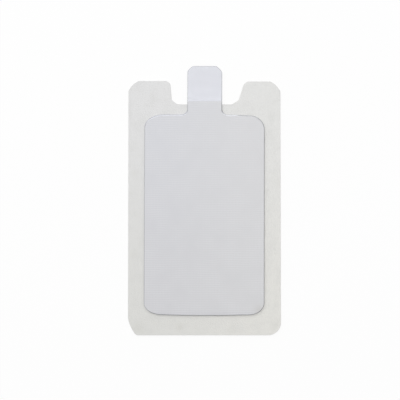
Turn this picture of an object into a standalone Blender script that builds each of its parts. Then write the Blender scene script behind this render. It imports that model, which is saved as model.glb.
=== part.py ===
"""A cordless electrosurgical grounding pad, laid flat with its patient side up.

Three die-cut sheets lie on each other. A foam backing is at the bottom, with a
notch in its top edge that leaves an ear on each side. A foil electrode lies on
it, and its tab passes between the ears for the cable clamp. A sheet of
conductive gel covers the foil and stops across the root of the tab.

The origin is the middle of the pad's outline, on the surface that it lies on.
+Y points along the tab and +Z up at the patient's side. Lengths are in metres.
"""

from dataclasses import dataclass
from math import cos, pi, radians, sin

import bmesh
import bpy
from mathutils import Vector

MM = 0.001

# Foam backing, a die-cut sheet of closed-cell foam with an adhesive face
FOAM_WIDTH = 114.0 * MM
FOAM_LENGTH = 190.2 * MM  # from the bottom edge to the top of the left ear
FOAM_THICKNESS = 0.9 * MM
RIGHT_EAR_DROP = 0.4 * MM  # how much lower the right ear ends
NOTCH_DEPTH = 17.6 * MM  # from the top of the left ear to the notch's floor

# The foam's corners: how far each rounding reaches along the edges that meet in it
EAR_CORNER = 7.8 * MM  # outer corners of both ears
FOOT_CORNER_LEFT_RUN = 6.5 * MM  # along the bottom edge
FOOT_CORNER_LEFT_RISE = 12.7 * MM  # up the side
FOOT_CORNER_RIGHT = 9.6 * MM
EAR_TIP_LEFT = 3.0 * MM  # beside the notch
EAR_TIP_RIGHT = 2.4 * MM
NOTCH_CORNER_RUN = 4.4 * MM  # along the notch's floor
NOTCH_CORNER_RISE = 3.6 * MM  # up the ear

# Foil electrode, one sheet of aluminium foil on polyester film
FOIL_THICKNESS = 0.12 * MM
LEFT_BORDER = 12.0 * MM  # bare foam beside the electrode
RIGHT_BORDER = 12.2 * MM
BOTTOM_BORDER = 14.3 * MM  # bare foam below the middle of its foot
TOP_BORDER = 7.2 * MM  # bare foam between its shoulders and the notch
PANEL_FOOT_BOW = 1.2 * MM  # how far the foot's edge rises from its middle to the corners
RIGHT_SHOULDER_DROP = 0.9 * MM  # how far the right shoulder falls towards the side
NECK_FILLET = 4.2 * MM  # where the tab grows out of the shoulders

# The panel's corners: a run along the shoulder or the foot, and a rise up the side
PANEL_TOP_LEFT_RUN = 15.0 * MM
PANEL_TOP_LEFT_RISE = 9.4 * MM
PANEL_TOP_RIGHT_RUN = 11.0 * MM
PANEL_TOP_RIGHT_RISE = 9.6 * MM
PANEL_FOOT_LEFT_RUN = 12.7 * MM
PANEL_FOOT_LEFT_RISE = 7.9 * MM
PANEL_FOOT_RIGHT_RUN = 10.6 * MM
PANEL_FOOT_RIGHT_RISE = 8.7 * MM
PANEL_BOW_REACH = 21.0 * MM  # how far the foot's bow is rounded on each side of its middle

# The tab, which the cable clamp grips
TAB_WIDTH = 26.0 * MM
TAB_OVERHANG = 11.2 * MM  # how far it reaches past the left ear
TAB_CORNER = 4.4 * MM  # rounded on the left, cut on the right
TAB_SAG = 0.3 * MM  # how far its free end hangs down
CLAMP_GAP_LEFT = 11.3 * MM  # between the tab and the ear, at the notch's floor
CLAMP_GAP_RIGHT = 11.6 * MM
EAR_FLARE_LEFT = 1.4 * MM  # how much further the ear's tip stands off
EAR_FLARE_RIGHT = 5.6 * MM

# Conductive gel
GEL_THICKNESS = 0.7 * MM
GEL_RIM = 0.3 * MM  # rounding of its upper edge
GEL_SIDE_SETBACK = 0.15 * MM  # foil left bare round the gel
GEL_SHOULDER_SETBACK = 0.95 * MM  # foil left bare along the shoulders
GEL_OVERHANG = 2.3 * MM  # how far the gel reaches past the notch's floor
BEND_CLEARANCE = 0.5 * MM  # from the gel's end to where the tab begins to sag

# How the sheets lie on each other
BOND_GAP = 0.3 * MM  # between one sheet and the next
LAY_UP_TURN = radians(-0.15)  # the electrode is stuck down a little askew

# How the roundings are drawn: 1 cuts a corner straight, 2 makes a quarter of an ellipse
CUT_CORNER = 1.15
SOFT_CORNER = 1.35
ROUND_CORNER = 2.0
CORNER_STEPS = 8
MOST_OF_EDGE = 0.48  # a rounding takes at most this share of an edge
RIM_STEPS = 3

# Heights and places that follow from the sizes above
BOTTOM_Y = -(FOAM_LENGTH + TAB_OVERHANG) / 2
EAR_TOP_Y = BOTTOM_Y + FOAM_LENGTH
NOTCH_FLOOR_Y = EAR_TOP_Y - NOTCH_DEPTH
TAB_END_Y = EAR_TOP_Y + TAB_OVERHANG
ELECTRODE_BOTTOM_Y = BOTTOM_Y + BOTTOM_BORDER
SHOULDER_Y = NOTCH_FLOOR_Y - TOP_BORDER
GEL_END_Y = NOTCH_FLOOR_Y + GEL_OVERHANG
BEND_Y = GEL_END_Y + BEND_CLEARANCE
FOIL_Z = FOAM_THICKNESS + BOND_GAP
GEL_Z = FOIL_Z + FOIL_THICKNESS + BOND_GAP


@dataclass(frozen=True)
class Corner:
    """A corner of an outline, with how far its rounding reaches back and ahead along the edges."""

    x: float
    y: float
    back: float
    ahead: float
    fullness: float


def clear_scene():
    """Removes what the scene holds, so that only the pad is in it."""
    for obj in list(bpy.data.objects):
        bpy.data.objects.remove(obj, do_unlink=True)


def principled(name, colour, roughness, metallic=0.0):
    """A material with the plain look of one of the pad's sheets."""
    material = bpy.data.materials.new(name)
    material.use_nodes = True
    shader = material.node_tree.nodes["Principled BSDF"]
    shader.inputs["Base Color"].default_value = (*colour, 1.0)
    shader.inputs["Roughness"].default_value = roughness
    shader.inputs["Metallic"].default_value = metallic
    material.diffuse_color = (*colour, 1.0)
    return material


def rounded_corner(corner, before, after):
    """Points along one rounding, a quarter of a superellipse laid between the two edges."""
    tip = Vector((corner.x, corner.y))
    back = Vector((before.x, before.y)) - tip
    ahead = Vector((after.x, after.y)) - tip
    back_reach = min(corner.back, MOST_OF_EDGE * back.length) * back.normalized()
    ahead_reach = min(corner.ahead, MOST_OF_EDGE * ahead.length) * ahead.normalized()
    power = 2 / corner.fullness
    points = []
    for step in range(CORNER_STEPS + 1):
        turn = pi / 2 * step / CORNER_STEPS
        away = 1 - max(sin(turn), 0.0) ** power
        along = 1 - max(cos(turn), 0.0) ** power
        points.append(tip + away * back_reach + along * ahead_reach)
    return points


def outline_through(corners):
    """The closed outline through the corners, which go round anticlockwise seen from above."""
    points = []
    for index, corner in enumerate(corners):
        before = corners[index - 1]
        after = corners[(index + 1) % len(corners)]
        if corner.back and corner.ahead:
            points.extend(rounded_corner(corner, before, after))
        else:
            points.append(Vector((corner.x, corner.y)))
    return points


def foam_outline():
    """The backing's outline, with the notch between its two ears."""
    side = FOAM_WIDTH / 2
    notch_left = -TAB_WIDTH / 2 - CLAMP_GAP_LEFT
    notch_right = TAB_WIDTH / 2 + CLAMP_GAP_RIGHT
    tip_left = notch_left - EAR_FLARE_LEFT
    tip_right = notch_right + EAR_FLARE_RIGHT
    right_top = EAR_TOP_Y - RIGHT_EAR_DROP
    return outline_through([
        Corner(-side, BOTTOM_Y, FOOT_CORNER_LEFT_RISE, FOOT_CORNER_LEFT_RUN, SOFT_CORNER),
        Corner(side, BOTTOM_Y, FOOT_CORNER_RIGHT, FOOT_CORNER_RIGHT, ROUND_CORNER),
        Corner(side, right_top, EAR_CORNER, EAR_CORNER, SOFT_CORNER),
        Corner(tip_right, right_top, EAR_TIP_RIGHT, EAR_TIP_RIGHT, SOFT_CORNER),
        Corner(notch_right, NOTCH_FLOOR_Y, NOTCH_CORNER_RISE, NOTCH_CORNER_RUN, CUT_CORNER),
        Corner(notch_left, NOTCH_FLOOR_Y, NOTCH_CORNER_RUN, NOTCH_CORNER_RISE, CUT_CORNER),
        Corner(tip_left, EAR_TOP_Y, EAR_TIP_LEFT, EAR_TIP_LEFT, SOFT_CORNER),
        Corner(-side, EAR_TOP_Y, EAR_CORNER, EAR_CORNER, SOFT_CORNER),
    ])


def electrode_outline(side_setback, shoulder_setback, end_y, end_corner):
    """The outline that foil and gel share: a rounded panel whose neck runs on into the tab.

    The gel is drawn in from the foil's edge by the setbacks, and ends sooner.
    """
    left = LEFT_BORDER + side_setback - FOAM_WIDTH / 2
    right = FOAM_WIDTH / 2 - RIGHT_BORDER - side_setback
    foot = ELECTRODE_BOTTOM_Y + side_setback
    foot_ends = foot + PANEL_FOOT_BOW
    shoulder = SHOULDER_Y - shoulder_setback
    right_end = shoulder - RIGHT_SHOULDER_DROP
    neck = TAB_WIDTH / 2 - side_setback
    return outline_through([
        Corner(left, foot_ends, PANEL_FOOT_LEFT_RISE, PANEL_FOOT_LEFT_RUN, ROUND_CORNER),
        Corner((left + right) / 2, foot, PANEL_BOW_REACH, PANEL_BOW_REACH, ROUND_CORNER),
        Corner(right, foot_ends, PANEL_FOOT_RIGHT_RUN, PANEL_FOOT_RIGHT_RISE, ROUND_CORNER),
        Corner(right, right_end, PANEL_TOP_RIGHT_RISE, PANEL_TOP_RIGHT_RUN, ROUND_CORNER),
        Corner(neck, shoulder, NECK_FILLET, NECK_FILLET, ROUND_CORNER),
        Corner(neck, end_y, end_corner, end_corner, CUT_CORNER),
        Corner(-neck, end_y, end_corner, end_corner, SOFT_CORNER),
        Corner(-neck, shoulder, NECK_FILLET, NECK_FILLET, ROUND_CORNER),
        Corner(left, shoulder, PANEL_TOP_LEFT_RUN, PANEL_TOP_LEFT_RISE, ROUND_CORNER),
    ])


def die_cut(name, points, thickness, underside_z, material, collection):
    """A flat sheet of the outline's shape: a filled 2D curve, made a closed mesh."""
    curve = bpy.data.curves.new(f"{name}_outline", "CURVE")
    curve.dimensions = "2D"
    curve.fill_mode = "BOTH"
    curve.extrude = thickness / 2
    spline = curve.splines.new("POLY")
    spline.points.add(len(points) - 1)
    for place, point in zip(spline.points, points):
        place.co = (point.x, point.y, 0.0, 1.0)
    spline.use_cyclic_u = True
    drawn = bpy.data.objects.new(f"{name}_outline", curve)
    bpy.context.scene.collection.objects.link(drawn)
    bpy.context.view_layer.update()
    graph = bpy.context.evaluated_depsgraph_get()
    mesh = bpy.data.meshes.new_from_object(drawn.evaluated_get(graph))
    bpy.data.objects.remove(drawn, do_unlink=True)
    bpy.data.curves.remove(curve)
    mesh.name = name

    work = bmesh.new()
    work.from_mesh(mesh)
    bmesh.ops.remove_doubles(work, verts=work.verts, dist=0.001 * MM)
    bmesh.ops.dissolve_limit(
        work, angle_limit=radians(0.01), verts=work.verts, edges=work.edges
    )
    bmesh.ops.recalc_face_normals(work, faces=work.faces)
    work.to_mesh(mesh)
    work.free()

    sheet = bpy.data.objects.new(name, mesh)
    sheet.location.z = underside_z + thickness / 2
    mesh.materials.clear()
    mesh.materials.append(material)
    collection.objects.link(sheet)
    return sheet


def round_upper_rim(sheet, radius):
    """Rounds the edge between a sheet's upper face and its sides."""
    work = bmesh.new()
    work.from_mesh(sheet.data)
    upper = [face for face in work.faces if face.normal.z > 0.9]
    joined = bmesh.ops.dissolve_faces(work, faces=upper)["region"]
    rim = list(joined[0].edges)
    bmesh.ops.bevel(
        work, geom=rim, offset=radius, segments=RIM_STEPS, profile=0.5, affect="EDGES"
    )
    work.to_mesh(sheet.data)
    work.free()


def bend_tab(sheet):
    """Lets the tab hang down evenly from the bend line to its free end."""
    work = bmesh.new()
    work.from_mesh(sheet.data)
    bmesh.ops.bisect_plane(
        work,
        geom=[*work.verts, *work.edges, *work.faces],
        plane_co=(0, BEND_Y, 0),
        plane_no=(0, 1, 0),
    )
    slope = TAB_SAG / (TAB_END_Y - BEND_Y)
    for vertex in work.verts:
        vertex.co.z -= slope * max(vertex.co.y - BEND_Y, 0.0)
    work.to_mesh(sheet.data)
    work.free()


def make_foam_backing(collection):
    """The foam sheet that carries the electrode and sticks to the skin all round it."""
    white_foam = principled("cream_white_foam", (0.74, 0.74, 0.72), 0.75)
    return die_cut(
        "foam_backing", foam_outline(), FOAM_THICKNESS, 0.0, white_foam, collection
    )


def make_foil_electrode(collection):
    """The foil sheet, whose tab hangs free between the ears."""
    bare_foil = principled("bare_aluminium_foil", (0.78, 0.79, 0.83), 0.35, 0.9)
    outline = electrode_outline(0.0, 0.0, TAB_END_Y, TAB_CORNER)
    foil = die_cut(
        "foil_electrode", outline, FOIL_THICKNESS, FOIL_Z, bare_foil, collection
    )
    bend_tab(foil)
    return foil


def make_conductive_gel(collection):
    """The gel sheet on the foil, with a soft upper rim."""
    pale_gel = principled("pale_grey_gel", (0.66, 0.67, 0.71), 0.3)
    outline = electrode_outline(GEL_SIDE_SETBACK, GEL_SHOULDER_SETBACK, GEL_END_Y, 0.0)
    gel = die_cut(
        "conductive_gel", outline, GEL_THICKNESS, GEL_Z, pale_gel, collection
    )
    round_upper_rim(gel, GEL_RIM)
    return gel


def shade(sheet):
    """Smooth shading over the gentle turns, with the cut edges kept sharp."""
    sheet.data.shade_smooth()
    sheet.data.set_sharp_from_angle(angle=radians(35))


def main():
    """Builds the three sheets and lays the electrode on the backing."""
    clear_scene()
    collection = bpy.data.collections.new("electrosurgical_grounding_pad")
    bpy.context.scene.collection.children.link(collection)
    lay_up = bpy.data.objects.new("electrode_lay_up", None)
    lay_up.rotation_euler.z = LAY_UP_TURN
    collection.objects.link(lay_up)

    foam = make_foam_backing(collection)
    foil = make_foil_electrode(collection)
    gel = make_conductive_gel(collection)
    for sheet in (foil, gel):
        sheet.parent = lay_up
    for sheet in (foam, foil, gel):
        shade(sheet)
    bpy.context.view_layer.update()


main()
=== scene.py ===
"""The looks of a cordless electrosurgical grounding pad, laid flat with its patient side up.

Three sheets lie on each other and each is a piece of its own here: a foam backing with its adhesive
face, a foil electrode whose tab takes the cable clamp, and a sheet of conductive gel. Every sheet is
a closed surface made of nets of points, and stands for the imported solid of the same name.

Lengths are in metres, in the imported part's frame: +Y points along the tab and +Z up.
"""

import logging
import math
from dataclasses import dataclass
from enum import Enum

import bpy
import numpy as np
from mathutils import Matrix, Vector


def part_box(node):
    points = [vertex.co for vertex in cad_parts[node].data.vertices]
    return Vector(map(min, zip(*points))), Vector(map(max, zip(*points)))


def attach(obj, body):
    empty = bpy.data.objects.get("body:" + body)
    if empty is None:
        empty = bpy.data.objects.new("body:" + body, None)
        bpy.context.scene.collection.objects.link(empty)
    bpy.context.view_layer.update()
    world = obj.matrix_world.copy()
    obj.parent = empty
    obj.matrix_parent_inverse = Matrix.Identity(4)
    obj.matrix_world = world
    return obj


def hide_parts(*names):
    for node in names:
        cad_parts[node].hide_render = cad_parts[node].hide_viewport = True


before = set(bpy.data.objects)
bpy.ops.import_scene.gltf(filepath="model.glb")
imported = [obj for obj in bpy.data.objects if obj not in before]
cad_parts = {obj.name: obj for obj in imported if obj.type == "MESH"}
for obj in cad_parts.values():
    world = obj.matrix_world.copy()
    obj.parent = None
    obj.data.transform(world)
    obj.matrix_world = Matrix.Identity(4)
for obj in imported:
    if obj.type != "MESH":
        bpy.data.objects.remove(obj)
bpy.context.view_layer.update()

LOG = logging.getLogger("grounding_pad")
MM = 0.001
WELD = 1e-9  # points of two nets that lie this close are one point

Array = np.ndarray
Triple = tuple[float, float, float]
Colour = Triple
Span = tuple[float, float]
WHITE: Colour = (1.0, 1.0, 1.0)


class Layer(Enum):
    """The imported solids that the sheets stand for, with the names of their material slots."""

    FOAM = ("foam_backing", "foam")
    FOIL = ("foil_electrode", "foil")
    GEL = ("conductive_gel", "gel")

    @property
    def node(self) -> str:
        """The solid's name."""
        return self.value[0]

    @property
    def slot(self) -> str:
        """The name of its material slot."""
        return self.value[1]


class Fullness(Enum):
    """How full a corner's rounding is, as the power of its superellipse."""

    CUT = 1.15
    SOFT = 1.35
    ROUND = 2.0


@dataclass(frozen=True)
class Corner:
    """A corner of an outline, with how far its rounding reaches back and ahead along the edges.

    A corner with a count starts a stretch of mesh cells at the middle of its rounding.
    """

    x: float
    y: float
    back: float = 0.0
    ahead: float = 0.0
    fullness: Fullness = Fullness.ROUND
    cells: int = 0
    steps: int = 48

    def rounded(self, before: "Corner", after: "Corner") -> Array:
        """Points along the rounding.

        In words: while a turn a goes from 0 to a quarter circle, the point lies 1 - sin(a)^(2/n) of the
        back reach and 1 - cos(a)^(2/n) of the ahead reach away from the corner, n being the fullness.

        Args:
            before: the corner that the outline comes from.
            after: the corner that it goes on to.

        Returns:
            An array of points in the plan, one row each.
        """
        tip = np.array((self.x, self.y))
        if not self.back or not self.ahead:
            return tip[None, :]
        back = np.array((before.x, before.y)) - tip
        ahead = np.array((after.x, after.y)) - tip
        turn = np.linspace(0.0, math.pi / 2, self.steps + 1)[:, None]
        power = 2 / self.fullness.value
        away = 1 - np.maximum(np.sin(turn), 0.0) ** power
        along = 1 - np.maximum(np.cos(turn), 0.0) ** power
        back_reach = self.back * back / np.linalg.norm(back)
        ahead_reach = self.ahead * ahead / np.linalg.norm(ahead)
        return tip + away * back_reach + along * ahead_reach


@dataclass
class Ring:
    """Mesh points round a sheet's outline, anticlockwise seen from above.

    The knots are the points where one stretch of cells ends and the next begins.
    """

    points: Array
    knots: list[int]

    @classmethod
    def along(cls, corners: list[Corner]) -> "Ring":
        """Samples the outline through the corners, evenly between one counted corner and the next.

        Args:
            corners: the outline's corners in order. The first has a count of cells.

        Returns:
            The ring of points with its knots.
        """
        arcs = [
            corner.rounded(corners[index - 1], corners[(index + 1) % len(corners)])
            for index, corner in enumerate(corners)
        ]
        starts = np.cumsum([0] + [len(arc) for arc in arcs[:-1]])
        line = np.concatenate(arcs + [arcs[0][:1]])
        reach = np.concatenate(([0.0], np.cumsum(np.linalg.norm(np.diff(line, axis=0), axis=1))))
        counted = [index for index, corner in enumerate(corners) if corner.cells]
        places = [reach[starts[index] + len(arcs[index]) // 2] for index in counted]
        counts = [corners[index].cells for index in counted]
        ends = places[1:] + [places[0] + reach[-1]]
        stations = np.concatenate(
            [np.linspace(a, b, n, endpoint=False) for a, b, n in zip(places, ends, counts)]
        ) % reach[-1]
        points = np.stack([np.interp(stations, reach, line[:, axis]) for axis in (0, 1)], axis=1)
        return cls(points, [int(knot) for knot in np.cumsum([0] + counts[:-1])])

    def outward(self, smoothing: int = 3) -> Array:
        """Unit directions away from the sheet, turning softly round sharp corners.

        In words: the chord from the point behind to the point ahead, turned a quarter clockwise and
        averaged with its neighbours.

        Args:
            smoothing: how many neighbours on each side go into the average.

        Returns:
            One direction for each point of the ring.
        """
        chord = np.roll(self.points, -1, axis=0) - np.roll(self.points, 1, axis=0)
        away = np.stack((chord[:, 1], -chord[:, 0]), axis=1)
        away /= np.linalg.norm(away, axis=1, keepdims=True)
        spread = sum(np.roll(away, shift, axis=0) for shift in range(-smoothing, smoothing + 1))
        return spread / np.linalg.norm(spread, axis=1, keepdims=True)

    def inset(self, distance: float) -> "Ring":
        """The same ring, drawn in by a small distance."""
        return Ring(self.points - distance * self.outward(), self.knots)

    def run(self, start: int, end: int) -> Array:
        """The points from one knot to the next, both of them included."""
        first, last = self.knots[start], self.knots[end]
        return np.roll(self.points, -first, axis=0)[:(last - first) % len(self.points) + 1]

    def seam(self, start: int, end: int, cells: int) -> Array:
        """Evenly spaced points on the straight line between two knots, across the sheet."""
        return np.linspace(self.points[self.knots[start]], self.points[self.knots[end]], cells + 1)


def spanned(bottom: Array, top: Array, left: Array, right: Array) -> Array:
    """A net of points spanned by its four sides.

    In words: the sum of what the lower and upper side give and what the left and right side give,
    each blended evenly across the net, less the blend of the four corners.

    Args:
        bottom: points of the lower side, from left to right.
        top: points of the upper side, from left to right.
        left: points of the left side, from bottom to top.
        right: points of the right side, from bottom to top.

    Returns:
        An array of rows from bottom to top, each with its points from left to right.
    """
    u = np.linspace(0.0, 1.0, len(bottom))[None, :, None]
    v = np.linspace(0.0, 1.0, len(left))[:, None, None]
    rows = (1 - v) * bottom[None] + v * top[None]
    columns = (1 - u) * left[:, None] + u * right[:, None]
    corners = (
        (1 - u) * (1 - v) * bottom[0] + u * (1 - v) * bottom[-1] + (1 - u) * v * top[0] + u * v * top[-1]
    )
    net = rows + columns - corners
    net[0], net[-1] = bottom, top
    net[:, 0], net[:, -1] = left, right
    return net


def uneven(
    x: Array, y: Array, wavelength: float, seed: int,
    waves: int = 14, pitches: Span = (0.7, 1.5),
) -> Array:
    """A soft uneven relief that stays between -1 and 1.

    In words: the sum of plane sine waves of about one wavelength, each with its own direction and
    phase, divided by the square root of their number and pressed between the limits by a tanh.

    Args:
        x, y: the places.
        wavelength: the usual distance from one crest to the next.
        seed: picks the directions and phases, the same ones each time.
        waves: how many waves are summed.
        pitches: the least and the most of their pitch, as shares of the usual one.

    Returns:
        The relief at each place.
    """
    draw = np.random.default_rng(seed)
    total = np.zeros_like(x)
    for heading, phase, pitch in zip(
        draw.uniform(0, 2 * math.pi, waves),
        draw.uniform(0, 2 * math.pi, waves),
        draw.uniform(*pitches, waves) * 2 * math.pi / wavelength,
    ):
        total += np.sin(pitch * (x * math.cos(heading) + y * math.sin(heading)) + phase)
    return np.tanh(total / math.sqrt(waves))


def eased(value: Array, low: float, high: float) -> Array:
    """0 up to low and 1 from high on, with a soft step between."""
    share = np.clip((value - low) / (high - low), 0.0, 1.0)
    return share * share * (3 - 2 * share)


@dataclass(frozen=True)
class Hollows:
    """Soft uneven hollows in a face, up to a depth and about a wavelength apart."""

    depth: float
    wavelength: float
    seed: int

    def at(self, x: Array, y: Array) -> Array:
        """How far the face is sunk at each place: the depth times half of 1 less the uneven relief."""
        return self.depth * (0.5 - 0.5 * uneven(x, y, self.wavelength, self.seed))


def linked(name: str, data: bpy.types.ID) -> bpy.types.Object:
    """Puts a new object in the scene.

    Args:
        name: the object's name.
        data: its mesh, lamp or camera.

    Returns:
        The object, at the origin.
    """
    made = bpy.data.objects.new(name, data)
    bpy.context.scene.collection.objects.link(made)
    return made


@dataclass(frozen=True)
class EdgeProfile:
    """The section of a die-cut edge, from the underside round to the upper face.

    The rim is a strip of the upper face that has the edge's colour as well, and the wall tone is how
    much of that colour the wall and the lower edge have.
    """

    upper_reach: float
    upper_drop: float
    lower_radius: float
    pinch: float = 0.0
    arc_steps: int = 5
    wall_steps: int = 4
    support: float = 0.06 * MM
    rim: float = 0.0
    wall_tone: float = 1.0

    def section(self, thickness: float) -> Array:
        """The section's points.

        In words: a quarter ellipse turns the lower edge, a wall that is drawn in by a half sine goes
        up, and a quarter ellipse turns the upper edge. A last point holds the flat face beside it.

        Args:
            thickness: the sheet's thickness.

        Returns:
            Rows of inset from the outline, share of the height, and how much of an edge it is.
        """
        brink = [self.upper_reach + self.rim] if self.rim else []
        turn = np.linspace(0.0, math.pi / 2, self.arc_steps + 1)
        low, high = self.lower_radius, thickness - self.upper_drop
        rise = np.linspace(0.0, 1.0, self.wall_steps + 1)[1:-1]
        inset = np.concatenate((
            [low + self.support],
            low * (1 - np.sin(turn)),
            self.pinch * np.sin(math.pi * rise),
            self.upper_reach * (1 - np.cos(turn)),
            brink,
            [self.upper_reach + self.rim + self.support],
        ))
        height = np.concatenate((
            [0.0],
            low * (1 - np.cos(turn)),
            low + (high - low) * rise,
            high + self.upper_drop * np.sin(turn),
            [thickness] * len(brink),
            [thickness],
        ))
        edge = np.ones_like(inset)
        edge[:self.arc_steps + self.wall_steps + 1] = self.wall_tone
        edge[[0, 1, -1]] = 0.0
        edge[-2] = 1.0 if brink else 0.0
        return np.stack((inset, height / thickness, edge), axis=1)


class SheetMesh:
    """Nets of points that are welded into one closed mesh."""

    def __init__(self) -> None:
        """Starts with no net."""
        self.points: list[Array] = []
        self.edges: list[Array] = []
        self.faces: list[Array] = []
        self.count = 0

    def add(self, net: Array, edge: Array, flipped: bool = False) -> None:
        """Adds a net's points and its four-sided cells.

        Args:
            net: rows of points, anticlockwise seen from outside.
            edge: how much each point belongs to the cut edge, from 0 to 1.
            flipped: true where the net is clockwise seen from outside.
        """
        rows, columns = net.shape[:2]
        index = self.count + np.arange(rows * columns).reshape(rows, columns)
        cells = np.stack((index[:-1, :-1], index[:-1, 1:], index[1:, 1:], index[1:, :-1]), axis=-1)
        cells = cells.reshape(-1, 4)
        self.faces.append(cells[:, ::-1] if flipped else cells)
        self.points.append(net.reshape(-1, 3))
        self.edges.append(edge.reshape(-1))
        self.count += rows * columns

    def object(self, name: str) -> bpy.types.Object:
        """Welds the nets where they meet and makes the piece.

        Args:
            name: the piece's name.

        Returns:
            The new object, at the origin, with an attribute for its cut edge.
        """
        points = np.concatenate(self.points)
        keys = np.round(points / WELD).astype(np.int64)
        _, first, back = np.unique(keys, axis=0, return_index=True, return_inverse=True)
        faces = back.reshape(-1)[np.concatenate(self.faces)]
        mesh = bpy.data.meshes.new(name)
        mesh.from_pydata(points[first].tolist(), [], faces.tolist(), shade_flat=False)
        self.paint(mesh, "cut_edge", np.concatenate(self.edges)[first])
        return linked(name, mesh)

    @staticmethod
    def paint(mesh: bpy.types.Mesh, name: str, values: Array) -> None:
        """Gives the mesh a number at each point, for its material to read."""
        attribute = mesh.attributes.new(name, "FLOAT", "POINT")
        attribute.data.foreach_set("value", values.astype(np.float32))


@dataclass(frozen=True)
class Value:
    """What a node gives, such as a number that varies over a surface, ready for arithmetic."""

    graph: "NodeGraph"
    socket: bpy.types.NodeSocket

    def math(self, operation: str, first: "Value | float", second: "Value | float" = 0.0) -> "Value":
        """The result of a new Math node."""
        return self.graph.value("ShaderNodeMath", {0: first, 1: second}, {"operation": operation})

    def __add__(self, other: "Value | float") -> "Value":
        """This plus other."""
        return self.math("ADD", self, other)

    __radd__ = __add__

    def __rsub__(self, other: "Value | float") -> "Value":
        """Other less this."""
        return self.math("SUBTRACT", other, self)

    def __mul__(self, other: "Value | float") -> "Value":
        """This times other."""
        return self.math("MULTIPLY", self, other)

    def spread(self, low: float, high: float) -> "Value":
        """This brought to 0 at low and 1 at high, with a soft step between."""
        sockets = {"Value": self, "From Min": low, "From Max": high}
        return self.graph.value("ShaderNodeMapRange", sockets, {"interpolation_type": "SMOOTHSTEP"})

    def stripes(self, pitch: float, shift: "Value") -> "Value":
        """Soft stripes from 0 to 1, one to each pitch of this: half a sine of it and the shift."""
        return self.math("SINE", self * (2 * math.pi / pitch) + shift) * 0.5 + 0.5


class NodeGraph:
    """The nodes of one material or world."""

    def __init__(self, owner: bpy.types.Material | bpy.types.World) -> None:
        """Empties the owner's node tree.

        Args:
            owner: the material or world that the nodes are for.
        """
        owner.use_nodes = True
        self.owner = owner
        self.tree = owner.node_tree
        self.tree.nodes.clear()

    def node(
        self, kind: str, sockets: dict | None = None, settings: dict | None = None
    ) -> bpy.types.Node:
        """Adds a node.

        Args:
            kind: the node's type.
            sockets: a value, number or colour for each socket that is set, by name or place.
            settings: what the node is told before its sockets, such as an operation.

        Returns:
            The new node.
        """
        made = self.tree.nodes.new(kind)
        for name, setting in (settings or {}).items():
            setattr(made, name, setting)
        for key, value in (sockets or {}).items():
            socket = made.inputs[key]
            if isinstance(value, Value):
                self.tree.links.new(value.socket, socket)
            else:
                socket.default_value = (*value, 1.0) if socket.type == "RGBA" else value
        return made

    def value(
        self, kind: str, sockets: dict | None = None, settings: dict | None = None, output: str | int = 0
    ) -> Value:
        """What a new node gives at one of its outputs, by name or place."""
        return Value(self, self.node(kind, sockets, settings).outputs[output])

    def places(self) -> Value:
        """Object coordinates, in metres."""
        return self.value("ShaderNodeTexCoord", output="Object")

    def axes(self) -> tuple[Value, Value]:
        """The object's x and y, in metres."""
        split = self.node("ShaderNodeSeparateXYZ", {0: self.places()})
        return Value(self, split.outputs[0]), Value(self, split.outputs[1])

    def attribute(self, name: str) -> Value:
        """A number that the mesh carries at its points."""
        return self.value("ShaderNodeAttribute", settings={"attribute_name": name}, output="Fac")

    def stretched(self, scale: Triple) -> Value:
        """Object coordinates scaled along each axis."""
        return self.value("ShaderNodeMapping", {"Vector": self.places(), "Scale": scale})

    def noise(
        self, size: float, detail: float, roughness: float = 0.5, places: Value | None = None
    ) -> Value:
        """Soft noise from 0 to 1, whose patches are about that size."""
        sockets = {"Vector": places or self.places(), "Scale": 1 / size, "Detail": detail}
        return self.value("ShaderNodeTexNoise", {**sockets, "Roughness": roughness})

    def cells(self, size: float, softness: float = 0.4) -> Value:
        """Distance from the middle of rounded cells of about that size, 0 there."""
        sockets = {"Vector": self.places(), "Scale": 1 / size, "Smoothness": softness}
        return self.value("ShaderNodeTexVoronoi", sockets, {"feature": "SMOOTH_F1"})

    def blend(self, share: Value, first: Value | Colour, second: Value | Colour) -> Value:
        """A colour that goes from the first to the second as the share goes from 0 to 1."""
        return self.value("ShaderNodeMix", {0: share, 6: first, 7: second}, {"data_type": "RGBA"}, 2)

    def bump(self, height: Value, distance: float, strength: float = 1.0) -> Value:
        """A normal that follows a small relief of that many metres."""
        return self.value("ShaderNodeBump", {"Height": height, "Distance": distance, "Strength": strength})

    def surface(self, sockets: dict) -> bpy.types.Material:
        """Ends the graph in a Principled shader with these sockets, and gives the finished material."""
        self.node("ShaderNodeOutputMaterial", {"Surface": self.value("ShaderNodeBsdfPrincipled", sockets)})
        return self.owner

    def looked_at(self) -> Value:
        """Whether the camera, a reflection or clear matter looks, and not only light is gathered.

        Returns:
            At least 1 where one of the three looks, and 0 elsewhere.
        """
        path = self.node("ShaderNodeLightPath").outputs
        ways = ("Camera", "Glossy", "Transmission")
        return sum((Value(self, path[f"Is {way} Ray"]) for way in ways), 0.0)


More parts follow.
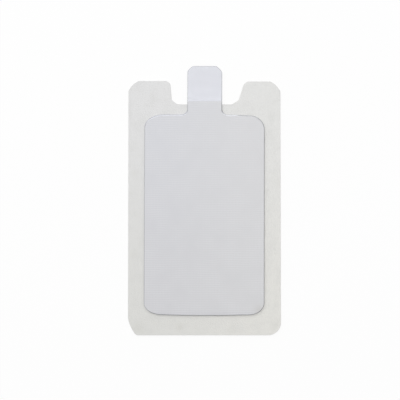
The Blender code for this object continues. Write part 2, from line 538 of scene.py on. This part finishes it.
@dataclass(frozen=True)
class FoamFinish:
    """Cream-white closed-cell foam whose upper face carries a skin of adhesive."""

    # Corner tones: darker towards the foot and the left as painted shade, and the foot a little yellower.
    ears_left: Colour = (0.769, 0.769, 0.772)
    ears_right: Colour = (0.788, 0.788, 0.775)
    foot_left: Colour = (0.738, 0.737, 0.713)
    foot_right: Colour = (0.787, 0.780, 0.744)
    mottled: Colour = (0.672, 0.672, 0.655)
    soiled: Colour = (0.615, 0.610, 0.565)
    cut: Colour = (0.735, 0.732, 0.715)
    # Painted shade in the pits of the foam's cells.
    pit_shade: Colour = (0.600, 0.600, 0.585)
    skin_patch: float = 9.0 * MM
    mottle_range: Span = (0.42, 0.80)
    mottle_share: float = 0.35
    cut_share: float = 0.8
    cell_size: float = 0.62 * MM
    cut_cell_size: float = 0.26 * MM
    cell_depth: float = 0.120 * MM
    pit_range: Span = (0.05, 0.35)
    pit_shade_share: float = 0.45
    grain_size: float = 0.16 * MM
    grain_share: float = 0.35
    bump_strength: float = 0.8
    roughness: float = 0.50
    patch_roughness: float = 0.16
    cut_roughness: float = 0.12

    def material(self, half_width: float, foot_y: float, ear_y: float) -> bpy.types.Material:
        """The foam's material.

        In words: the colour is blended between the four corners' tones, which are darker towards the
        foot and the left as painted shade, mottled by soft noise and darkened where it is soiled.
        Rounded cells make the relief, finer ones on the cut edge, and their pits are painted darker as
        shade.

        Args:
            half_width: half the foam's width.
            foot_y: where the foam's bottom edge is.
            ear_y: where its ears end.

        Returns:
            The material.
        """
        graph = NodeGraph(bpy.data.materials.new("cream_white_foam"))
        x, y = graph.axes()
        across = x.spread(-half_width, half_width)
        edge = graph.attribute("cut_edge")
        # Painted shade: the tones darken towards the foot and the left.
        foot = graph.blend(across, self.foot_left, self.foot_right)
        ears = graph.blend(across, self.ears_left, self.ears_right)
        colour = graph.blend(y.spread(foot_y, ear_y), foot, ears)
        patches = graph.noise(self.skin_patch, detail=4.0, roughness=0.6)
        colour = graph.blend(patches.spread(*self.mottle_range) * self.mottle_share, colour, self.mottled)
        colour = graph.blend(graph.attribute("soil"), colour, self.soiled)
        colour = graph.blend(edge * self.cut_share, colour, self.cut)
        cells = graph.cells(self.cell_size) * (1 - edge) + graph.cells(self.cut_cell_size) * edge
        # Painted shade: the pits of the cells are darker.
        pit_shade_mask = 1 - cells.spread(*self.pit_range)
        colour = graph.blend(pit_shade_mask * self.pit_shade_share, colour, self.pit_shade)
        relief = cells + graph.noise(self.grain_size, detail=2.0) * self.grain_share
        return graph.surface({
            "Base Color": colour,
            "Roughness": patches * self.patch_roughness + edge * self.cut_roughness + self.roughness,
            "IOR": 1.42,
            "Normal": graph.bump(relief, self.cell_depth, self.bump_strength),
        })


@dataclass(frozen=True)
class FoilFinish:
    """Bare aluminium foil with the satin of its rolling."""

    bright: Colour = (0.660, 0.671, 0.717)
    dull: Colour = (0.630, 0.642, 0.688)
    cloud_size: float = 7.0 * MM
    cloud_range: Span = (0.35, 0.75)
    # Darker towards the top, most of all at the tab's free end.
    tab_end_tone: Colour = (0.614, 0.622, 0.662)
    tab_end_span: Span = (60.0 * MM, 92.0 * MM)
    # Painted highlight: the foil is lighter from just right of the tab on, seen as a glint on the right
    # shoulder's bare strip.
    painted_glint: Colour = (0.750, 0.760, 0.790)
    painted_glint_span: Span = (13.5 * MM, 15.5 * MM)
    # Painted shade: the foil is darker further right, on the bare strip of the right shoulder.
    right_strip_shade: Colour = (0.560, 0.566, 0.576)
    right_strip_shade_span: Span = (23.5 * MM, 26.0 * MM)
    # Dark cut edge all round, with painted shade making it darker on the right and at the foot.
    edge: Colour = (0.320, 0.326, 0.342)
    line_width: float = 0.12 * MM
    line_length: float = 14.0 * MM
    line_depth: float = 0.006 * MM
    metallic: float = 0.50
    roughness: float = 0.48
    line_roughness: float = 0.10
    cloud_roughness: float = 0.08

    def material(self) -> bpy.types.Material:
        """The foil's material.

        In words: noise stretched along the rolling makes fine lines in the roughness and the relief,
        and soft patches make the sheet cloudy. The foil is darker towards the top, most of all at the
        tab's free end. Right of the tab the bare rim has a painted highlight at first and painted shade
        further out, and the cut edge is dark, with painted shade on the right and at the foot.

        Returns:
            The material.
        """
        graph = NodeGraph(bpy.data.materials.new("bare_aluminium_foil"))
        x, y = graph.axes()
        rolling = graph.stretched((1.0, self.line_width / self.line_length, 1.0))
        lines = graph.noise(self.line_width, detail=3.0, places=rolling)
        clouds = graph.noise(self.cloud_size, detail=3.0)
        colour = graph.blend(clouds.spread(*self.cloud_range), self.bright, self.dull)
        # Darker towards the top, most of all at the tab's free end.
        colour = graph.blend(y.spread(*self.tab_end_span), colour, self.tab_end_tone)
        # Painted highlight right of the tab.
        colour = graph.blend(x.spread(*self.painted_glint_span), colour, self.painted_glint)
        # Painted shade on the right shoulder's bare strip.
        colour = graph.blend(x.spread(*self.right_strip_shade_span), colour, self.right_strip_shade)
        colour = graph.blend(graph.attribute("cut_edge"), colour, self.edge)
        return graph.surface({
            "Base Color": colour,
            "Metallic": self.metallic,
            "Roughness": lines * self.line_roughness + clouds * self.cloud_roughness + self.roughness,
            "Normal": graph.bump(lines, self.line_depth),
        })


@dataclass(frozen=True)
class GelFinish:
    """Milky conductive gel with the threads of its carrier showing as fine cross lines."""

    # Corner tones: bluish on the left, and darker at the foot as painted shade.
    top_left: Colour = (0.683, 0.691, 0.727)
    top_right: Colour = (0.705, 0.706, 0.722)
    foot_left: Colour = (0.652, 0.653, 0.676)
    foot_right: Colour = (0.676, 0.677, 0.690)
    # Darker tone of the random clouds, also used for the painted shade along the foot.
    clouds_and_foot_shade: Colour = (0.618, 0.622, 0.648)
    cloud_size: float = 8.0 * MM
    cloud_scale: Triple = (0.3, 1.0, 1.0)
    cloud_range: Span = (0.45, 0.85)
    cloud_share: float = 0.14
    # Painted shade in a band along the foot, this wide.
    foot_shade_band: float = 6.0 * MM
    foot_shade_share: float = 0.85
    thread: Colour = (0.760, 0.764, 0.785)
    thread_pitch: float = 1.68 * MM
    thread_shift: float = 9.0
    thread_share: float = 0.42
    cross_pitch: float = 2.3 * MM
    cross_shift: float = 7.0
    cross_share: float = 0.2
    waver_size: float = 24.0 * MM
    shown_size: float = 16.0 * MM
    shown_range: Span = (0.20, 0.70)
    soiled: Colour = (0.560, 0.545, 0.520)
    # Dark cut edge, mostly painted shade for the dark line round the gel, lighter where it faces the
    # light.
    edge: Colour = (0.225, 0.228, 0.242)
    edge_share: float = 0.90
    grain_size: float = 0.45 * MM
    grain_share: float = 0.9
    weave_depth: float = 0.003 * MM
    roughness: float = 0.34
    cloud_roughness: float = 0.10
    thread_roughness: float = 0.06
    coat: float = 0.06

    def material(self, half_width: float, foot_y: float, end_y: float) -> bpy.types.Material:
        """The gel's material.

        In words: the colour is blended between the four corners' tones, bluish on the left and
        darker at the foot as painted shade, most of all in a band along the foot. Two sines, shifted by
        soft noise, draw the threads along and across. The cut edge is dark, mostly as painted shade.

        Args:
            half_width: half the gel's width.
            foot_y: where its bottom edge is.
            end_y: where it ends on the tab's root.

        Returns:
            The material.
        """
        graph = NodeGraph(bpy.data.materials.new("pale_grey_gel"))
        x, y = graph.axes()
        across = x.spread(-half_width, half_width)
        # Painted shade: the tones darken towards the foot.
        foot = graph.blend(across, self.foot_left, self.foot_right)
        top = graph.blend(across, self.top_left, self.top_right)
        colour = graph.blend(y.spread(foot_y, end_y), foot, top)
        drawn_out = graph.stretched(self.cloud_scale)
        clouds = graph.noise(self.cloud_size, detail=5.0, roughness=0.62, places=drawn_out)
        colour = graph.blend(clouds.spread(*self.cloud_range) * self.cloud_share, colour, self.clouds_and_foot_shade)
        # Painted shade in a band along the foot.
        foot_shade_band = 1 - y.spread(foot_y, foot_y + self.foot_shade_band)
        colour = graph.blend(foot_shade_band * self.foot_shade_share, colour, self.clouds_and_foot_shade)
        waver = graph.noise(self.waver_size, detail=3.0)
        threads = y.stripes(self.thread_pitch, waver * self.thread_shift)
        crossing = x.stripes(self.cross_pitch, waver * self.cross_shift)
        weave = threads * (1 - self.cross_share) + crossing * self.cross_share
        shown = graph.noise(self.shown_size, detail=2.0).spread(*self.shown_range)
        colour = graph.blend(weave * shown * self.thread_share, colour, self.thread)
        colour = graph.blend(graph.attribute("soil"), colour, self.soiled)
        # Painted shade on the cut edge.
        colour = graph.blend(graph.attribute("cut_edge") * self.edge_share, colour, self.edge)
        relief = weave + graph.noise(self.grain_size, detail=3.0) * self.grain_share
        return graph.surface({
            "Base Color": colour,
            "Roughness": clouds * self.cloud_roughness + threads * self.thread_roughness + self.roughness,
            "IOR": 1.38,
            "Coat Weight": self.coat,
            "Coat Roughness": 0.30,
            "Normal": graph.bump(relief, self.weave_depth),
        })


@dataclass(frozen=True)
class PadPlan:
    """The sizes that the sheets share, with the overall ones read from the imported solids.

    A pair of sizes says how far a corner's rounding reaches back and ahead along the outline. The top
    border is 0.45 mm wider than the solids', as the photograph shows it, and the foam and the gel
    keep only the film gap to the foil.
    """

    right_ear_drop: float = 0.4 * MM
    notch_depth: float = 17.6 * MM
    ear_corner: float = 7.8 * MM
    foot_left: Span = (12.7 * MM, 6.5 * MM)
    foot_right: float = 9.6 * MM
    ear_tip_left: float = 3.0 * MM
    ear_tip_right: float = 2.4 * MM
    notch_corner_run: float = 4.4 * MM
    notch_corner_rise: float = 3.6 * MM
    left_border: float = 12.0 * MM
    right_border: float = 12.2 * MM
    bottom_border: float = 14.3 * MM
    top_border: float = 7.65 * MM
    panel_foot_bow: float = 1.2 * MM
    right_shoulder_drop: float = 0.9 * MM
    neck_fillet: float = 4.2 * MM
    panel_foot_left: Span = (7.9 * MM, 12.7 * MM)
    panel_foot_right: Span = (10.6 * MM, 8.7 * MM)
    panel_top_right: Span = (9.6 * MM, 11.0 * MM)
    panel_top_left: Span = (15.0 * MM, 9.4 * MM)
    panel_bow_reach: float = 21.0 * MM
    tab_width: float = 26.0 * MM
    tab_overhang: float = 11.2 * MM
    tab_corner: float = 4.4 * MM
    tab_sag: float = 0.3 * MM
    clamp_gap_left: float = 11.3 * MM
    clamp_gap_right: float = 11.6 * MM
    ear_flare_left: float = 1.4 * MM
    ear_flare_right: float = 5.6 * MM
    gel_side_setback: float = 0.15 * MM
    gel_shoulder_setback: float = 0.95 * MM
    gel_overhang: float = 2.3 * MM
    bend_clearance: float = 0.5 * MM
    foil_thickness: float = 0.12 * MM
    bond_gap: float = 0.3 * MM
    film_gap: float = 0.01 * MM
    lay_up_turn: float = math.radians(-0.15)

    @property
    def half_width(self) -> float:
        """Half the foam's width."""
        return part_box(Layer.FOAM.node)[1].x

    @property
    def bottom_y(self) -> float:
        """The foam's bottom edge."""
        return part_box(Layer.FOAM.node)[0].y

    @property
    def ear_top_y(self) -> float:
        """The top of the left ear."""
        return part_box(Layer.FOAM.node)[1].y

    @property
    def notch_floor_y(self) -> float:
        """The floor of the notch."""
        return self.ear_top_y - self.notch_depth

    @property
    def tab_end_y(self) -> float:
        """The free end of the tab."""
        return self.ear_top_y + self.tab_overhang

    @property
    def gel_end_y(self) -> float:
        """Where the gel ends on the tab's root."""
        return self.notch_floor_y + self.gel_overhang

    @property
    def bend_y(self) -> float:
        """Where the tab begins to sag."""
        return self.gel_end_y + self.bend_clearance

    @property
    def gel_top_z(self) -> float:
        """The gel's upper face."""
        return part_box(Layer.GEL.node)[1].z

    @property
    def foil_z(self) -> float:
        """The foil's underside."""
        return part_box(Layer.GEL.node)[0].z - self.bond_gap - self.foil_thickness


@dataclass(frozen=True)
class Smudge:
    """A faint soft round spot on a sheet's upper face."""

    x: float
    y: float
    radius: float
    strength: float

    def depth(self, x: Array, y: Array) -> Array:
        """How strong the smudge is at each place: a bell curve of the distance from its middle."""
        apart = np.hypot(x - self.x, y - self.y) / self.radius
        return self.strength * np.exp(-2 * apart * apart)


@dataclass
class DieCutSheet:
    """One die-cut sheet: an outline, an edge profile, and a relief on both faces."""

    plan: PadPlan
    layer: Layer
    profile: EdgeProfile
    smudges: tuple[Smudge, ...] = ()
    soft: bool = False

    def ring(self) -> Ring:
        """Mesh points round the sheet's outline."""
        raise NotImplementedError

    def nets(self, ring: Ring) -> list[Array]:
        """Nets in the plan that fill a ring."""
        raise NotImplementedError

    def upper(self, x: Array, y: Array) -> Array:
        """Heights of the upper face."""
        raise NotImplementedError

    def under(self, x: Array, y: Array) -> Array:
        """Heights of the underside."""
        raise NotImplementedError

    def edge_tone(self, ring: Ring) -> Array:
        """How much of the edge's colour shows at each point of the ring."""
        return np.ones(len(ring.points))

    def placed(self, net: Array) -> Array:
        """The net where it lies on the pad."""
        return net

    def raised(self, plan_net: Array, share: Array) -> Array:
        """Lifts points of the plan to a share of the sheet's height, and places them.

        Args:
            plan_net: points in the plan.
            share: 0 on the underside and 1 on the upper face.

        Returns:
            The points in space.
        """
        x, y = plan_net[..., 0], plan_net[..., 1]
        z = (1 - share) * self.under(x, y) + share * self.upper(x, y)
        return self.placed(np.stack((x, y, z), axis=-1))

    def build(self) -> bpy.types.Object:
        """Makes the sheet's closed mesh: an edge carried round the ring and nets on both faces.

        Returns:
            The piece, at the origin.
        """
        ring = self.ring()
        middle = ring.points.mean(axis=0)[:, None]
        thickness = float((self.upper(*middle) - self.under(*middle))[0])
        section = self.profile.section(thickness)
        loops = [ring.inset(inset) for inset in section[:, 0]]
        band = np.stack([loop.points for loop in loops])
        band = np.concatenate((band, band[:, :1]), axis=1)
        share = np.repeat(section[:, 1:2], band.shape[1], axis=1)
        mesh = SheetMesh()
        tone = self.edge_tone(ring)
        mesh.add(self.raised(band, share), section[:, 2:3] * np.append(tone, tone[0]))
        for loop, height, flipped in ((loops[0], 0.0, True), (loops[-1], 1.0, False)):
            for net in self.nets(loop):
                flat = np.zeros(net.shape[:2])
                mesh.add(self.raised(net, flat + height), flat, flipped)
        return mesh.object(f"{self.layer.node}_sheet")

    def material(self) -> bpy.types.Material:
        """The sheet's finish."""
        raise NotImplementedError

    def soil(self, mesh: bpy.types.Mesh) -> None:
        """Paints the smudges on the upper half of the sheet.

        In words: each point has the sum of what the smudges are there, which fades out below the
        upper face.

        Args:
            mesh: the sheet's mesh.
        """
        places = np.zeros(3 * len(mesh.vertices), np.float32)
        mesh.vertices.foreach_get("co", places)
        x, y, z = places.reshape(-1, 3).astype(float).T
        total = sum((smudge.depth(x, y) for smudge in self.smudges), start=np.zeros_like(x))
        SheetMesh.paint(mesh, "soil", total * eased(z, np.mean((z.min(), z.max())), z.max()))

    def dress(self, piece: bpy.types.Object) -> None:
        """Gives the piece its finish, hides the solid it stands for, and hangs it on what it rides on.

        Args:
            piece: the sheet as it was built.
        """
        self.soil(piece.data)
        piece.data.materials.append(self.material())
        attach(piece, "root")
        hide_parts(self.layer.node)
        self.layer.slot


@dataclass
class FoamBacking(DieCutSheet):
    """The foam sheet, with a notch in its top edge and an ear on each side of it."""

    layer: Layer = Layer.FOAM
    profile: EdgeProfile = EdgeProfile(
        upper_reach=0.22 * MM, upper_drop=0.14 * MM, lower_radius=0.08 * MM, pinch=0.05 * MM
    )
    finish: FoamFinish = FoamFinish()
    waves: Hollows = Hollows(depth=0.045 * MM, wavelength=42.0 * MM, seed=3)
    dimples: Hollows = Hollows(depth=0.012 * MM, wavelength=3.6 * MM, seed=4)
    under_dimples: Hollows = Hollows(depth=0.012 * MM, wavelength=5.0 * MM, seed=5)
    side_cells: int = 190
    ear_rows: int = 26
    ear_columns: int = 50
    floor_cells: int = 66
    smudges: tuple[Smudge, ...] = (
        Smudge(-52.0 * MM, 20.0 * MM, 5.0 * MM, 0.16),
        Smudge(-53.5 * MM, -41.0 * MM, 5.0 * MM, 0.16),
        Smudge(-18.8 * MM, -94.9 * MM, 3.6 * MM, 0.34),
        Smudge(20.5 * MM, -96.0 * MM, 4.5 * MM, 0.16),
        Smudge(55.5 * MM, 13.0 * MM, 4.0 * MM, 0.15),
        Smudge(52.5 * MM, -93.2 * MM, 5.0 * MM, 0.14),
        Smudge(-49.0 * MM, -95.5 * MM, 6.5 * MM, 0.26),
    )
    soft: bool = True

    def ring(self) -> Ring:
        """The backing's outline, from the middle of the bottom left corner.

        Returns:
            The ring. Its knots 0 and 1 are the foot's corners, 2 the right end of the ears' seams, 3
            and 4 the right ear, 5 and 6 the notch, 7 and 8 the left ear and 9 the seams' left end.
        """
        plan, side, soft = self.plan, self.plan.half_width, Fullness.SOFT
        seam_y = plan.notch_floor_y + plan.notch_corner_rise / 2
        notch_left = -plan.tab_width / 2 - plan.clamp_gap_left
        notch_right = plan.tab_width / 2 + plan.clamp_gap_right
        left_ear = notch_left - plan.ear_flare_left
        right_ear = notch_right + plan.ear_flare_right
        left_tip, right_tip = plan.ear_tip_left, plan.ear_tip_right
        left_top, right_top = plan.ear_top_y, plan.ear_top_y - plan.right_ear_drop
        ear, run, rise = plan.ear_corner, plan.notch_corner_run, plan.notch_corner_rise
        across = 2 * self.ear_columns + self.floor_cells
        return Ring.along([
            Corner(-side, plan.bottom_y, *plan.foot_left, soft, across),
            Corner(side, plan.bottom_y, plan.foot_right, plan.foot_right, cells=self.side_cells),
            Corner(side, seam_y, cells=self.ear_rows),
            Corner(side, right_top, ear, ear, soft, self.ear_columns),
            Corner(right_ear, right_top, right_tip, right_tip, soft, self.ear_rows),
            Corner(notch_right, plan.notch_floor_y, rise, run, Fullness.CUT, self.floor_cells),
            Corner(notch_left, plan.notch_floor_y, run, rise, Fullness.CUT, self.ear_rows),
            Corner(left_ear, left_top, left_tip, left_tip, soft, self.ear_columns),
            Corner(-side, left_top, ear, ear, soft, self.ear_rows),
            Corner(-side, seam_y, cells=self.side_cells),
        ])

    def nets(self, ring: Ring) -> list[Array]:
        """A net for the body and one for each ear, which meet it along straight seams.

        Args:
            ring: the foam's own ring, at any inset.

        Returns:
            The three nets.
        """
        right_seam = ring.seam(5, 2, self.ear_columns)
        left_seam = ring.seam(9, 6, self.ear_columns)
        floor = ring.run(5, 6)[::-1]
        top = np.concatenate((left_seam, floor[1:], right_seam[1:]))
        return [
            spanned(ring.run(0, 1), top, ring.run(9, 0)[::-1], ring.run(1, 2)),
            spanned(right_seam, ring.run(3, 4)[::-1], ring.run(4, 5)[::-1], ring.run(2, 3)),
            spanned(left_seam, ring.run(7, 8)[::-1], ring.run(8, 9)[::-1], ring.run(6, 7)),
        ]

    def upper(self, x: Array, y: Array) -> Array:
        """A face just under the foil, with long soft waves and shallow dimples."""
        return self.plan.foil_z - self.plan.film_gap - self.waves.at(x, y) - self.dimples.at(x, y)

    def under(self, x: Array, y: Array) -> Array:
        """The face that the pad lies on, with shallow dimples."""
        return self.under_dimples.at(x, y)

    def material(self) -> bpy.types.Material:
        """Cream-white foam."""
        return self.finish.material(self.plan.half_width, self.plan.bottom_y, self.plan.ear_top_y)


@dataclass
class ElectrodeSheet(DieCutSheet):
    """What foil and gel share: a rounded panel with a neck, stuck down a little askew."""

    side_setback: float = 0.0
    shoulder_setback: float = 0.0
    end_y: float = 0.0
    end_corner: float = 0.0
    shoulder_cells: int = 30
    neck_cells: int = 30
    side_cells: int = 100
    neck_rows: int = 30

    def ring(self) -> Ring:
        """The sheet's outline, from the middle of the bottom left corner.

        Returns:
            The ring. Its knots 0 and 1 are the foot's corners, 2 the right shoulder's outer end, 3 and
            6 the two sides of the neck, 4 and 5 its far corners and 7 the left shoulder's outer end.
        """
        plan, setback = self.plan, self.side_setback
        left = plan.left_border + setback - plan.half_width
        right = plan.half_width - plan.right_border - setback
        foot = plan.bottom_y + plan.bottom_border + setback
        foot_ends = foot + plan.panel_foot_bow
        shoulder = plan.notch_floor_y - plan.top_border - self.shoulder_setback
        right_end = shoulder - plan.right_shoulder_drop
        neck = plan.tab_width / 2 - setback
        bow, fillet, end = plan.panel_bow_reach, plan.neck_fillet, self.end_corner
        across = 2 * self.shoulder_cells + self.neck_cells
        return Ring.along([
            Corner(left, foot_ends, *plan.panel_foot_left, cells=across),
            Corner((left + right) / 2, foot, bow, bow),
            Corner(right, foot_ends, *plan.panel_foot_right, cells=self.side_cells),
            Corner(right, right_end, *plan.panel_top_right, cells=self.shoulder_cells),
            Corner(neck, shoulder, fillet, fillet, cells=self.neck_rows),
            Corner(neck, self.end_y, end, end, Fullness.CUT, self.neck_cells),
            Corner(-neck, self.end_y, end, end, Fullness.SOFT, self.neck_rows),
            Corner(-neck, shoulder, fillet, fillet, cells=self.shoulder_cells),
            Corner(left, shoulder, *plan.panel_top_left, cells=self.side_cells),
        ])

    def nets(self, ring: Ring) -> list[Array]:
        """A net for the panel and one for the neck, which meet along a straight seam.

        Args:
            ring: the sheet's own ring, at any inset.

        Returns:
            The two nets.
        """
        seam = ring.seam(6, 3, self.neck_cells)
        top = np.concatenate((ring.run(6, 7)[::-1], seam[1:], ring.run(2, 3)[::-1][1:]))
        return [
            spanned(ring.run(0, 1), top, ring.run(7, 0)[::-1], ring.run(1, 2)),
            spanned(seam, ring.run(4, 5)[::-1], ring.run(5, 6)[::-1], ring.run(3, 4)),
        ]

    def placed(self, net: Array) -> Array:
        """The net where it lies on the pad: turned a little about the origin, as it is stuck down.

        Args:
            net: points in space.

        Returns:
            The turned points.
        """
        c, s = math.cos(self.plan.lay_up_turn), math.sin(self.plan.lay_up_turn)
        x, y, z = np.moveaxis(net, -1, 0)
        return np.stack((c * x - s * y, s * x + c * y, z), axis=-1)


@dataclass
class FoilElectrode(ElectrodeSheet):
    """The foil, whose bare tab hangs free between the ears."""

    layer: Layer = Layer.FOIL
    profile: EdgeProfile = EdgeProfile(
        upper_reach=0.03 * MM, upper_drop=0.03 * MM, lower_radius=0.03 * MM,
        arc_steps=3, wall_steps=2, support=0.08 * MM, rim=0.30 * MM,
    )
    finish: FoilFinish = FoilFinish()
    crease_depth: float = 0.045 * MM
    crease_length: float = 11.0 * MM
    crease_stretch: float = 0.6
    crease_start: float = 5.0 * MM
    # The rim's darkness: the least share all round, and painted shade adds more away from the light.
    least_tone: float = 0.55
    shaded_tone: float = 0.35
    neck_cells: int = 48
    neck_rows: int = 70

    def under(self, x: Array, y: Array) -> Array:
        """The foil's underside.

        In words: it is flat under the gel, and from the bend on it sags evenly and has soft creases,
        which reach their full depth a little further out.

        Args:
            x, y: the places.

        Returns:
            The height at each place.
        """
        plan = self.plan
        slope = plan.tab_sag / (plan.tab_end_y - plan.bend_y)
        free = eased(y, plan.bend_y, plan.bend_y + self.crease_start)
        creases = uneven(self.crease_stretch * x, y, self.crease_length, seed=8) * self.crease_depth
        return plan.foil_z - slope * np.maximum(y - plan.bend_y, 0.0) + creases * free

    def upper(self, x: Array, y: Array) -> Array:
        """The foil's upper face, its thickness above the underside."""
        return self.under(x, y) + self.plan.foil_thickness

    def edge_tone(self, ring: Ring) -> Array:
        """Painted shade: the rim is darkest on the right and at the foot, away from the light."""
        x, y = ring.outward().T
        return self.least_tone + self.shaded_tone * np.clip(x - np.minimum(y, 0.0), 0.0, 1.0)

    def material(self) -> bpy.types.Material:
        """Bare foil."""
        return self.finish.material()


@dataclass
class ConductiveGel(ElectrodeSheet):
    """The gel, with a soft upper rim and the fine cross lines of its carrier."""

    layer: Layer = Layer.GEL
    profile: EdgeProfile = EdgeProfile(
        upper_reach=0.32 * MM, upper_drop=0.30 * MM, lower_radius=0.05 * MM, pinch=0.04 * MM,
        wall_tone=0.35,
    )
    finish: GelFinish = GelFinish()
    smudges: tuple[Smudge, ...] = (Smudge(41.3 * MM, -82.6 * MM, 6.0 * MM, 0.45),)
    soft: bool = True
    # How much less painted shade the edge has where it faces up and to the left, towards the light.
    lit_top_share: float = 0.85
    upward: Span = (0.1, 0.8)
    lit_left_share: float = 0.45
    leftward: Span = (0.2, 0.9)
    thread_depth: float = 0.020 * MM
    thread_shift: float = 1.8
    shift_length: float = 38.0 * MM
    unevenness: float = 0.4
    unevenness_length: float = 22.0 * MM
    waves: Hollows = Hollows(depth=0.040 * MM, wavelength=36.0 * MM, seed=13)
    shoulder_cells: int = 27
    neck_cells: int = 28
    side_cells: int = 460
    neck_rows: int = 36

    def upper(self, x: Array, y: Array) -> Array:
        """The gel's upper face.

        In words: a sine along the pad, shifted by a long soft wave, presses the threads into it more
        or less deeply, and soft waves make it uneven.

        Args:
            x, y: the places.

        Returns:
            The height at each place.
        """
        shift = self.thread_shift * uneven(x, y, self.shift_length, seed=11)
        threads = 0.5 - 0.5 * np.sin(2 * math.pi * y / self.finish.thread_pitch + shift)
        pressed = 1 - self.unevenness * (1 - uneven(x, y, self.unevenness_length, seed=12))
        return self.plan.gel_top_z - self.thread_depth * threads * pressed - self.waves.at(x, y)

    def edge_tone(self, ring: Ring) -> Array:
        """Painted shade: the dark edge is lighter where it faces the light, most of all at the top."""
        x, y = ring.outward().T
        return (1 - self.lit_top_share * eased(y, *self.upward)) * (1 - self.lit_left_share * eased(-x, *self.leftward))

    def under(self, x: Array, y: Array) -> Array:
        """The gel's underside, just above the foil."""
        return np.full_like(x, self.plan.foil_z + self.plan.foil_thickness + self.plan.film_gap)

    def material(self) -> bpy.types.Material:
        """Milky gel."""
        plan, foot_y = self.plan, self.plan.bottom_y + self.plan.bottom_border
        return self.finish.material(plan.half_width - plan.right_border, foot_y, plan.gel_end_y)


@dataclass(frozen=True)
class Lamp:
    """A square soft lamp that looks at the pad."""

    name: str
    azimuth: float
    elevation: float
    distance: float
    side: float
    radiance: float

    def hang(self) -> None:
        """Puts the lamp up.

        In words: it hangs at a distance along a direction given by its turn from the pad's top
        towards the right and its height above the floor, and its power is pi times its area times
        the radiance.
        """
        light = bpy.data.lights.new(self.name, "AREA")
        light.size = self.side
        light.energy = math.pi * self.side**2 * self.radiance
        lamp = linked(self.name, light)
        flat = self.distance * math.cos(self.elevation)
        lamp.location = (
            flat * math.sin(self.azimuth),
            flat * math.cos(self.azimuth),
            self.distance * math.sin(self.elevation),
        )
        lamp.rotation_euler = lamp.location.to_track_quat("Z", "Y").to_euler()


@dataclass
class Studio:
    """A plain white table under soft lamps, and the camera above it."""

    target: tuple[float, float] = (-3.34 * MM, 0.09 * MM)
    surface_z: float = 1.5 * MM
    camera_distance: float = 700 * MM
    view_width: float = 299.0 * MM
    tilt: float = math.radians(1.54)
    sensor: float = 36.0
    nearest: float = 10.0 * MM
    floor_side: float = 6.0
    floor_drop: float = 0.05 * MM
    floor_colour: Colour = (0.98, 0.98, 0.98)
    white_share: float = 0.85
    world_level: float = 0.56
    lamps: tuple[Lamp, ...] = (
        Lamp("fill", math.radians(80), math.radians(50), distance=1.8, side=1.6, radiance=0.55),
        Lamp("key", math.radians(-28), math.radians(41), distance=2.2, side=2.6, radiance=1.49),
    )

    def camera(self) -> None:
        """Looks down at the pad from a little below its middle, as the photograph does."""
        data = bpy.data.cameras.new("camera")
        data.sensor_width = self.sensor
        data.lens = self.sensor * self.camera_distance / self.view_width
        data.clip_start = self.nearest
        camera = linked("camera", data)
        camera.location = (
            self.target[0],
            self.target[1] - self.camera_distance * math.sin(self.tilt),
            self.surface_z + self.camera_distance * math.cos(self.tilt),
        )
        camera.rotation_euler = (self.tilt, 0.0, 0.0)
        bpy.context.scene.camera = camera

    def floor(self) -> None:
        """A white table top that keeps the pad's shadow.

        In words: where the camera or a reflection sees it, most of its light is plain white, and the
        rest is lit as any pale surface.
        """
        half, z = self.floor_side / 2, -self.floor_drop
        mesh = bpy.data.meshes.new("table_top")
        mesh.from_pydata(
            [(-half, -half, z), (half, -half, z), (half, half, z), (-half, half, z)], [], [(0, 1, 2, 3)]
        )
        graph = NodeGraph(bpy.data.materials.new("white_table"))
        lit = graph.value("ShaderNodeBsdfDiffuse", {"Color": self.floor_colour})
        white = graph.value("ShaderNodeEmission", {"Color": WHITE, "Strength": 1.0})
        share = graph.looked_at() * self.white_share
        shown = graph.value("ShaderNodeMixShader", {0: share, 1: lit, 2: white})
        graph.node("ShaderNodeOutputMaterial", {"Surface": shown})
        mesh.materials.append(graph.owner)
        linked("table_top", mesh)

    def world(self) -> None:
        """An even pale surround, which the camera and reflections see as white."""
        graph = NodeGraph(bpy.data.worlds.new("surround"))
        soft, white = (
            graph.value("ShaderNodeBackground", {"Color": WHITE, "Strength": level})
            for level in (self.world_level, 1.0)
        )
        shown = graph.value("ShaderNodeMixShader", {0: graph.looked_at(), 1: soft, 2: white})
        graph.node("ShaderNodeOutputWorld", {"Surface": shown})
        bpy.context.scene.world = graph.owner

    def set_up(self) -> None:
        """Makes the table, the surround, the lamps and the camera."""
        self.floor()
        self.world()
        for lamp in self.lamps:
            lamp.hang()
        self.camera()
        bpy.context.scene.view_settings.view_transform = "Standard"


def main() -> None:
    """Builds and dresses the sheets from the bottom up, and sets the studio up."""
    logging.basicConfig(level=logging.INFO, format="%(message)s")
    plan = PadPlan()
    sheets = (
        FoamBacking(plan),
        FoilElectrode(plan, end_y=plan.tab_end_y, end_corner=plan.tab_corner),
        ConductiveGel(
            plan, end_y=plan.gel_end_y,
            side_setback=plan.gel_side_setback, shoulder_setback=plan.gel_shoulder_setback,
        ),
    )
    for sheet in sheets:
        piece = sheet.build()
        sheet.dress(piece)
        LOG.info("%s: %d faces", piece.name, len(piece.data.polygons))
    Studio().set_up()


if __name__ == "__main__":
    main()
